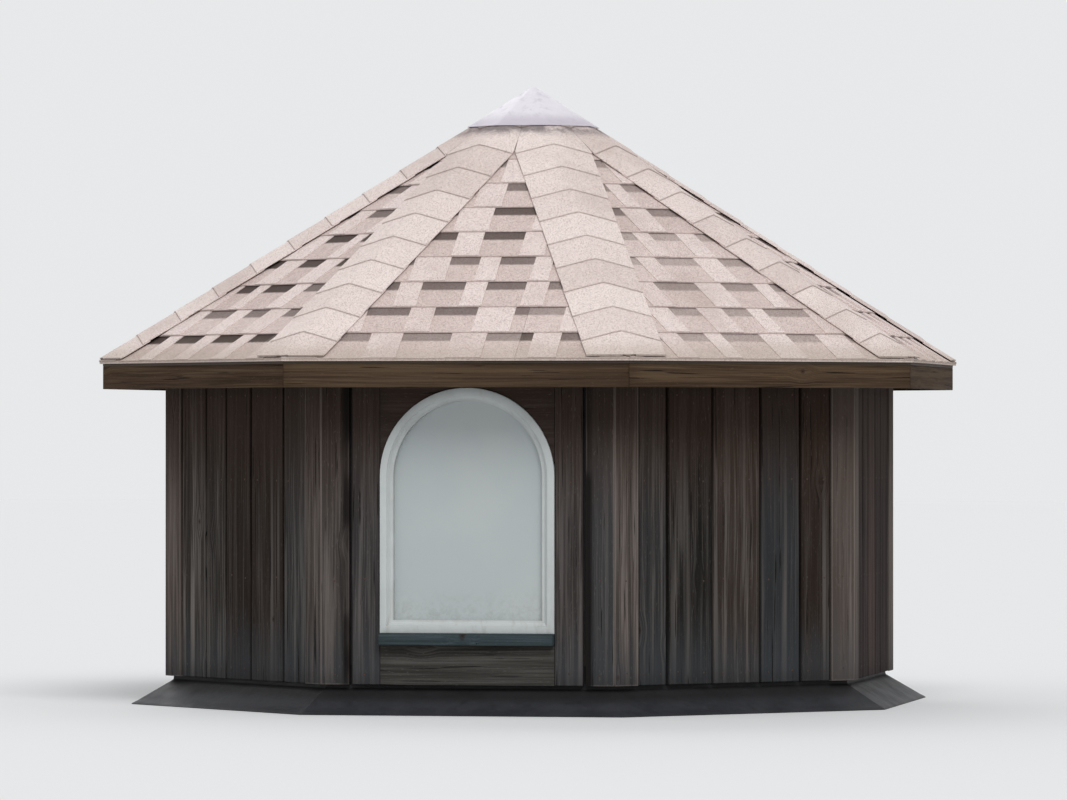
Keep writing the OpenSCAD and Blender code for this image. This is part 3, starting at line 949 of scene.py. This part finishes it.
def weathered_wood(name, shades, warm, foot, levels=(0.5, 1.6), on_wall=True, wear_and_sunlight=None):
    """Rough sawn timber gone grey in the weather, with levels as the range of its boards' tones.

    Warm tints some boards, and the wall's top as painted shade under the eave; foot tints others and the wall
    towards its foot. Only corner boards have rubbed rims.
    """
    dark, middle, light = shades
    s = material_shader(name)
    f = wood_fields(s)
    mixed = s.plus(s.times(f.bands, 0.55), s.times(f.streaks, 0.45))
    s.colour = s.ramp(s.step(mixed, 0.35, 0.65), (0, dark), (0.5, middle), (1, light))

    # Each board has a tone of its own, and some are redder or greyer
    s.brighten(s.step(f.tone, 0, 1, *levels))
    hue_dice = s.math("FRACT", s.times(f.tone, 13.7))
    s.tint(foot, s.step(hue_dice, 0.6, 0.95, 0, 0.5))
    s.tint(warm, s.step(hue_dice, 0.35, 0.05, 0, 0.4))

    # Browner and with painted shade under the eave, greyer down the wall, the foot colour towards its foot
    if on_wall:
        ragged = s.times(s.minus(f.bands, 0.5), 0.3)
        height = s.plus(s.parts(s.place())[2], ragged)
        # Painted shade under the eave: the warm tint darkens the wall's top, besides browning wood kept from
        # the sun
        s.tint(warm, s.step(height, 0.5, 1, 0, 0.8))
        runs = s.noise(f.moved, (0.7, 34, 34))
        bleach = s.times(s.step(runs, 0.54, 0.72), s.step(height, 0.9, 0.4))
        s.tint(light, bleach, 0.75)
        # The wall takes on the foot colour towards its foot
        s.tint(foot, s.step(height, 0.34, 0.08, 0, 0.6))

    # Worn rims, dark ends, knots, checks and pale specks
    s.tint(wear_and_sunlight or dark, f.rim, 0.45)
    s.tint(dark, f.ends_near, 0.3)
    tint_knots(s, f, 0.85, (24, 18, 15), (52, 40, 33))
    s.tint((16, 13, 12), f.checks, 0.85)
    s.tint(light, s.step(s.noise(f.moved, (60, 260, 260)), 0.6, 0.78, 0, 0.35))
    # Painted sunlight on the +X corner boards, and a dark strip beside the casing's joint
    if wear_and_sunlight:
        tint_beside_joint(s, f, wear_and_sunlight)

    roughness = s.step(f.streaks, 0.2, 0.8, 0.95, 0.78)
    relief = s.minus(fibre_relief(s, f, 0.55, 0.25), s.times(f.checks, 0.9))
    relief = s.plus(relief, s.times(f.knot, 0.25))
    return s.finish(roughness, (relief, 2.2 * MM, 0.8), {"Specular IOR Level": 0.1})


def softwood(name, dark, light):
    """Clean sawn framing timber with growth rings that show on its sides and its ends."""
    s = material_shader(name)
    f = wood_fields(s)
    _, across, through = s.parts(f.flow)[:3]
    heart = s.sideways(s.plus(across, 31 * MM), s.times(s.plus(through, 70 * MM), 0.9))
    bowed = s.plus(s.vector("LENGTH", heart), s.times(f.bands, 9 * MM))
    rings = growth_rings(s, bowed, 210, (0.35, 0.92), (1, 0.93))
    s.colour = s.ramp(s.step(f.streaks, 0.25, 0.75), (0, dark), (1, light))
    s.tint(darker(dark, 0.72), rings, 0.55)
    s.brighten(s.step(f.tone, 0, 1, 0.86, 1.12))
    tint_knots(s, f, 0.9, (84, 52, 30), (120, 78, 46))
    s.tint(darker(dark, 0.62), f.end, 0.35)
    s.tint(darker(dark, 0.8), f.rim, 0.15)
    s.tint((150, 138, 118), s.step(s.noise(f.moved, 6, 3), 0.45, 0.75, 0, 0.25))
    relief = s.minus(fibre_relief(s, f, 0.5, 0.4), s.times(rings, 0.2))
    return s.finish(s.step(f.streaks, 0.2, 0.8, 0.82, 0.62), (relief, 0.8 * MM, 0.5))


def plywood(name, dark, light, rim_z=None):
    """Sheathing panels: broad face grain, patches, and plies along the edges. Weathered below rim_z."""
    s = material_shader(name)
    f = wood_fields(s)
    broad = s.noise(f.flow, (1.1, 9, 9), twist=0.6)
    cathedral = growth_rings(s, broad, 11, (0.2, 0.9), (1, 0.92))
    s.colour = s.ramp(s.step(f.streaks, 0.25, 0.75), (0, dark), (1, light))
    s.tint(darker(dark, 0.72), cathedral, 0.45)

    # Plies of two millimetres along the edges
    through = s.parts(f.grain)[2]
    plies = s.math("SINE", s.times(through, 2 * math.pi / (4 * MM)))
    ply_colour = s.mix(s.step(plies, -0.4, 0.4), darker(dark, 0.45), darker(dark, 0.7))
    half_t = s.parts(s.attribute("span"))[2]
    depth = s.minus(half_t, s.math("ABSOLUTE", through))
    s.tint(ply_colour, s.step(depth, 0.3 * MM, 1.2 * MM), 0.9)
    if rim_z is not None:
        height = s.parts(s.place())[2]
        s.tint((58, 48, 42), s.step(height, rim_z, rim_z - 6 * MM, 0, 0.9))

    # Dark paper on the outer face, then knots and stains
    s.tint((34, 32, 32), s.step(s.minus(through, half_t), -0.9 * MM, -0.5 * MM))
    tint_knots(s, f, 0.8, (92, 62, 38), (128, 92, 58))
    stain = s.noise(f.moved, 3, 4, 0.6)
    s.tint(darker(dark, 0.7), s.step(stain, 0.5, 0.8, 0, 0.5))
    return s.finish(s.step(stain, 0.3, 0.8, 0.68, 0.85), (fibre_relief(s, f, 0.5, 0.3), 0.5 * MM, 0.4))


def shingle_material(name, shades, band_colour, band_share):
    """Mineral granules on felt. Shades run from dark to light with a piece's tone."""
    s = material_shader(name)
    tone = s.attribute("tone", "Fac")
    rise = s.parts(s.attribute("grain"))[0]
    place = s.place()
    x, _, z = s.parts(place)[:3]
    blend = s.noise(place, 22, 4, 0.65)
    mixed = s.plus(s.times(tone, 0.62), s.times(blend, 0.42))
    s.colour = s.ramp(mixed, *[(k / (len(shades) - 1), shade) for k, shade in enumerate(shades)])

    # Granules of a millimetre or two in several colours
    granule = s.cells(place, 620)
    pick = s.parts(granule["Color"])[0]
    s.tint((104, 82, 72), s.step(pick, 0.74, 0.8, 0, 0.55))
    s.tint((232, 224, 214), s.step(pick, 0.26, 0.2, 0, 0.55))
    coarse = s.noise(place, 150, 3, 0.7)
    s.tint(shades[0], s.step(coarse, 0.52, 0.72, 0, 0.42))
    cloud = s.noise(place, 3.2, 3, 0.55)
    s.tint((170, 151, 143), s.step(cloud, 0.48, 0.75, 0, 0.3))

    # The lower ply has a dark band along its head, which shows between the tabs; on the +X side it is painted
    # paler, as painted sunlight
    ragged = s.times(s.minus(coarse, 0.5), 12 * MM)
    band = s.step(s.plus(rise, ragged), EXPOSURE - BAND[0], EXPOSURE - BAND[1])
    lower = s.step(tone, 0.5, 0.46)
    depth = s.step(tone, 0.05, 0.4, band_share, band_share * 0.55)
    # Painted sunlight: the band is paler on the +X side
    painted_sunlight_fade = s.step(x, 0.1, 0.5, 1, 0.6)
    s.tint(band_colour, s.times(band, lower), s.times(depth, painted_sunlight_fade))

    # Darker and yellower towards the eave
    height = s.plus(z, s.times(cloud, 60 * MM))
    s.tint((162, 150, 132), s.step(height, deck_low.z + 115 * MM, deck_low.z + 55 * MM, 0, 0.38))

    # Painted shadow lies in patches under the rim of the apex cap
    rim_z = roof_z(APEX_R, APEX_LOW)
    below = s.plus(z, s.times(coarse, 16 * MM))
    painted_rim_shadow = s.times(s.step(below, rim_z - 34 * MM, rim_z - 4 * MM), s.step(blend, 0.22, 0.62))
    s.tint((112, 103, 106), painted_rim_shadow, 0.85)

    # Butts are cut, and show dark felt
    s.tint((120, 102, 94), s.step(rise, 3 * MM, 0.5 * MM), 0.45)
    relief = s.plus(s.times(granule["Distance"], 0.55), s.times(coarse, 0.6))
    return s.finish(s.step(pick, 0, 1, 0.8, 0.98), (relief, 1.6 * MM, 0.7), {"Specular IOR Level": 0.2})


def painted_frame(name, colour, dirt_and_shade):
    """Pale satin frame with rain marks, darker towards its foot, and painted shade in its recess."""
    s = material_shader(name)
    place = s.place()
    clouds = s.noise(place, 14, 4, 0.6)
    s.colour = s.mix(s.step(clouds, 0.4, 0.7, 0, 0.5), colour, darker(colour, 0.94))
    runs = s.noise(place, (40, 40, 9), 4, 0.6)
    # Darker towards the foot
    foot = s.step(s.parts(place)[2], frame_low.z + 120 * MM, frame_low.z)
    s.tint(dirt_and_shade, s.step(runs, 0.5, 0.8), s.plus(s.times(foot, 0.3), 0.2))
    # Painted shade in the recess, more than 11 mm behind the frame's front
    outwards = s.parts(s.attribute("grain"))[2]
    s.tint(dirt_and_shade, s.step(outwards, -11 * MM, -15 * MM, 0, 0.2), s.step(clouds, 0.3, 0.6))
    s.tint(dirt_and_shade, s.step(s.cells(place, 160)["Distance"], 0.09, 0.05), 0.5)
    return s.finish(s.step(clouds, 0.3, 0.8, 0.34, 0.55), (s.noise(place, 420), 0.3 * MM, 0.25))


def frosted(name, colour, haze, dirt_and_shade):
    """Frosted pane: pale and even, with fine etching, faint haze, and dust specks that darken its foot,
    partly as painted shade.
    """
    s = material_shader(name)
    place = s.place()
    clouds = s.noise(place, 5, 3)
    s.colour = s.mix(s.step(clouds, 0.35, 0.7, 0, 0.6), colour, haze)
    specks = s.noise(place, 60, 5, 0.7)
    # Dust specks darken the foot: partly dust, partly painted shade
    dust = s.step(s.parts(place)[2], frame_low.z + 160 * MM, frame_low.z + 40 * MM, 0, 0.6)
    s.tint(dirt_and_shade, dust, s.step(specks, 0.4, 0.7))
    s.tint(dirt_and_shade, s.step(specks, 0.62, 0.8, 0, 0.2))
    relief = s.plus(s.times(s.noise(place, 900, 2, 0.6), 0.25), s.noise(place, 9))
    roughness = s.step(clouds, 0.3, 0.7, 0.3, 0.42)
    return s.finish(roughness, (relief, 0.4 * MM, 0.3), {"Coat Weight": 0.7, "Coat Roughness": 0.08})


def sheet_metal(name, colour, stain, bright, metallic, rough, shine=0.5, spangle=0, painted_shadow_z=None, rim_z=None):
    """Dull sheet metal: faint crystals, water marks and scuffs, painted shadow above painted_shadow_z and
    painted shade towards rim_z.
    """
    s = material_shader(name)
    place = s.place()
    clouds = s.noise(place, 9, 5, 0.6)
    height = s.plus(s.parts(place)[2], s.times(clouds, 20 * MM))
    scuffed = tuple(lerp(c, d, 0.4) for c, d in zip(colour, bright))
    s.colour = s.mix(s.step(clouds, 0.35, 0.7), colour, scuffed)
    s.tint(bright, s.parts(s.cells(place, 75)["Color"])[0], spangle)
    runs = s.noise(place, (38, 38, 6), 4, 0.6)
    s.tint(stain, s.step(runs, 0.52, 0.75, 0, 0.6))
    dust = s.noise(place, 46, 5, 0.7)
    s.tint(bright, s.step(dust, 0.55, 0.75, 0, 0.4))
    # Painted shadow of the boards' foot: nearly black above this height
    if painted_shadow_z is not None:
        s.tint((17, 16, 17), s.step(height, painted_shadow_z, painted_shadow_z + 25 * MM, 0, 0.85))
    # Painted shade: the cap darkens with the stain colour towards its rim
    if rim_z is not None:
        s.tint(stain, s.step(height, rim_z + 60 * MM, rim_z + 20 * MM, 0, 0.8))
    roughness = s.step(s.plus(clouds, s.times(dust, 0.5)), 0.5, 1.1, rough, rough + 0.2)
    dents = s.plus(s.noise(place, 16, 1), s.times(dust, 0.06))
    return s.finish(roughness, (dents, 2.5 * MM, 0.35), {"Metallic": metallic, "Specular IOR Level": shine})


def nail_metal(name):
    """Rusted steel nail heads."""
    s = material_shader(name)
    rust = s.noise(s.place(), 700, 4, 0.7)
    s.colour = s.ramp(s.step(rust, 0.3, 0.7), (0, (34, 29, 27)), (0.6, (66, 48, 38)), (1, (96, 66, 46)))
    return s.finish(s.step(rust, 0.3, 0.7, 0.6, 0.9), (rust, 0.5 * MM, 0.6), {"Metallic": 0.3})


def make_materials():
    """Every material by its use. Weathered wood has a dark, a middle and a light shade."""
    warm, foot = (54, 40, 32), (58, 62, 66)
    boards = ((28, 25, 23), (48, 44, 41), (89, 85, 82))
    # The right wall's boards are a darker, redder copy of the boards: painted shade on that wall
    shaded_right_boards = ((26, 20, 19), (43, 34, 32), (78, 65, 62))
    trim = ((42, 37, 36), (62, 57, 55), (94, 89, 87))
    corners, wear_and_sunlight = ((51, 46, 43), (74, 67, 63), (108, 100, 96)), (134, 124, 118)
    apron = ((52, 50, 47), (76, 74, 70), (104, 101, 97))
    # The sill's blue-grey is painted skylight over weathered wood
    sill = ((44, 52, 55), (63, 73, 77), (88, 99, 104))
    eave = ((52, 39, 28), (75, 58, 44), (97, 80, 61))
    panel = ((140, 112, 78), (184, 154, 112))
    shingles = [(166, 147, 144), (208, 188, 184), (225, 207, 203), (235, 219, 216), (241, 227, 223)]
    caps = [(212, 195, 190), (227, 211, 207), (237, 222, 218), (243, 230, 226)]
    dark_metal = ((31, 32, 36), (20, 20, 23), (58, 59, 64))
    pale_metal = ((214, 210, 217), (184, 177, 188), (227, 224, 231))
    # Heights where painted shadow starts on the flashing and painted shade on the apex cap
    painted_shadow_z, rim_z = host_z(TRIM_R) - 20 * MM, roof_z(APEX_R, APEX_LOW)
    return {
        "boards": weathered_wood("weathered_boards", boards, warm, foot),
        "shaded right boards": weathered_wood("shaded_reddish_boards", shaded_right_boards, warm, (50, 42, 41)),
        "trim": weathered_wood("weathered_trim", trim, warm, foot, (0.65, 1.25)),
        "corners": weathered_wood("weathered_corners", corners, warm, foot, (0.7, 1.45), wear_and_sunlight=wear_and_sunlight),
        "apron": weathered_wood("weathered_apron", apron, warm, (60, 61, 60), on_wall=False),
        # Sill: weathered wood with a painted skylight tint
        "sill": weathered_wood("sky_tinted_sill", sill, (46, 55, 58), (50, 60, 64), (0.9, 1.15), False),
        "eave": weathered_wood("eave_boards", eave, warm, (60, 48, 38), (0.85, 1.2), False),
        "framing": softwood("framing_timber", (158, 126, 86), (196, 166, 122)),
        "panel": plywood("sheathing_panel", *panel),
        "deck": plywood("roof_deck_panel", *panel, deck_low.z + 20 * MM),
        "shingles": shingle_material("granule_shingles", shingles, (70, 57, 52), 1),
        "caps": shingle_material("granule_caps", caps, (86, 71, 65), 0),
        "frame": painted_frame("window_frame_paint", (184, 189, 189), (138, 136, 124)),
        "pane": frosted("frosted_pane", (168, 176, 177), (175, 181, 180), (146, 151, 148)),
        "flashing": sheet_metal("dark_flashing", *dark_metal, 0, 0.58, 0.3, painted_shadow_z=painted_shadow_z),
        "apex": sheet_metal("apex_metal", *pale_metal, 0.2, 0.5, spangle=0.3, rim_z=rim_z),
        "nails": nail_metal("nail_heads"),
    }


def build_looks():
    """Every visible piece."""
    materials = make_materials()
    # The right wall takes the darker copy of the boards, as painted shade
    for face, name in PLAIN_FACES.items():
        wall_boards(face, name, materials["shaded right boards" if name == "right" else "boards"])
    for face, name in WINDOW_FACES.items():
        casing(face, name, materials["trim"])
        window_frame(face, name, materials["frame"])
        window_pane(face, name, materials["pane"])
    for slot, use, ease, nodes in DRESSED:
        for node in nodes.split():
            dressed(node, slot, materials[use], ease)
    for face in ALL_FACES:
        shingle_face(face, materials["shingles"])
    for hip in ALL_FACES:
        hip_caps(hip, materials["caps"])
    apex_cap(materials["apex"])
    flashing(materials["flashing"])
    wall_nails(materials["nails"])


def aim(thing, target):
    """Turns a lamp or camera to look at a point."""
    direction = Vector(target) - thing.location
    thing.rotation_euler = direction.to_track_quat("-Z", "Y").to_euler()


def make_camera():
    """The photograph's viewpoint: nearly level, a little to the right of the front window."""
    data = bpy.data.cameras.new("camera")
    data.lens = CAMERA_LENS
    data.clip_end = CAMERA_REACH
    camera = new_object("camera", data)
    camera.location = CAMERA_PLACE
    aim(camera, CAMERA_TARGET)
    bpy.context.scene.camera = camera


def make_lamp(name, place, level, spread):
    """Soft distant lamp that shines from place to the origin. Level 1 alone shows a colour as written."""
    data = bpy.data.lights.new(name, "SUN")
    data.energy = level * math.pi
    data.angle = math.radians(spread)
    lamp = new_object(name, data)
    lamp.location = place
    aim(lamp, (0, 0, 0))


def make_world():
    """Soft even light, with the pale backdrop shown to the camera, to gloss and through glass."""
    s = Shader(bpy.data.worlds.new("studio"), "OutputWorld")
    path = s.node("LightPath").outputs
    seen = s.math("MAXIMUM", path["Is Camera Ray"], path["Is Glossy Ray"])
    shown = s.math("MAXIMUM", seen, path["Is Transmission Ray"])
    sky = s.node("Background", {"Color": SKY, "Strength": SKY_LEVEL}).outputs[0]
    backdrop = s.node("Background", {"Color": BACKDROP, "Strength": 1}).outputs[0]
    mix = s.node("MixShader", {0: shown, 1: sky, 2: backdrop})
    s.put(s.out.inputs[0], mix.outputs[0])
    bpy.context.scene.world = s.owner


def make_floor():
    """Pale floor that keeps the object's shadow."""
    bm = bmesh.new()
    bmesh.ops.create_grid(bm, x_segments=1, y_segments=1, size=FLOOR_HALF)
    mesh = bpy.data.meshes.new("floor")
    bm.to_mesh(mesh)
    bm.free()
    paper = material_shader("floor_paper")
    paper.colour = FLOOR
    mesh.materials.append(paper.finish(0.9, None, {"Specular IOR Level": 0}))
    floor = new_object("floor", mesh)
    floor.location.z = -FLOOR_DROP
    floor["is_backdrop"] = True


def make_studio():
    """Camera, backdrop, floor and lamps."""
    make_camera()
    make_world()
    make_floor()
    for name, (place, level, spread) in LAMPS.items():
        make_lamp(name, place, level, spread)
    bpy.context.scene.view_settings.view_transform = "Standard"


def write_sizes():
    """Gathers the CAD box and the visual model's box as lists."""
    boxes = {"cad": cad_box, "visual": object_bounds()}
    plain = {key: [list(corner) for corner in box] for key, box in boxes.items()}


build_looks()
make_studio()
write_sizes()
